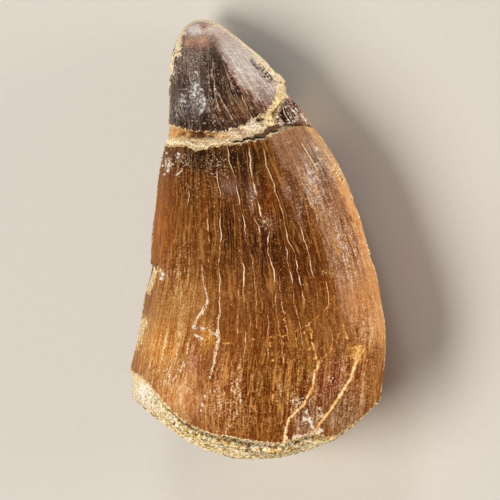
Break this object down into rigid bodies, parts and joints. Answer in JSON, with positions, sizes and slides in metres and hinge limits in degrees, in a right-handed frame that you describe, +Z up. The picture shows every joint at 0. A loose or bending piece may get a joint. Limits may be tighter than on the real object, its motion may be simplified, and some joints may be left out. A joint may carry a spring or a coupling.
{
  "type": "fossil mosasaur tooth",
  "caption": "Curved conical fossil tooth crown with two cutting edges, a re-set broken tip and a sandy rock filling in its broken base, lying on its flatter side.",
  "frame": {"origin": "middle of the bounding box in plan, on the surface that the tooth lies on", "axes": "+Y along the tooth towards its tip, +X across it towards the more strongly curved cutting edge, +Z up, out of the crest side"},
  "size_m": [0.024, 0.035, 0.017],
  "materials": {
    "brown_enamel": "semi-gloss fossil enamel with cream-filled lengthwise cracks",
    "tip_enamel": "semi-gloss grey-brown fossil enamel with a pale crust",
    "chip_enamel": "worn, dull fossil enamel",
    "seam_filling": "matt, porous, sandy",
    "sandy_rock": "matt, coarse sandy grains"
  },
  "bodies": {
    "root": {"crown_body": "brown_enamel", "crown_tip": "tip_enamel", "edge_flake": "chip_enamel", "seam_fill": "seam_filling", "base_matrix": "sandy_rock"}
  },
  "joints": []
}
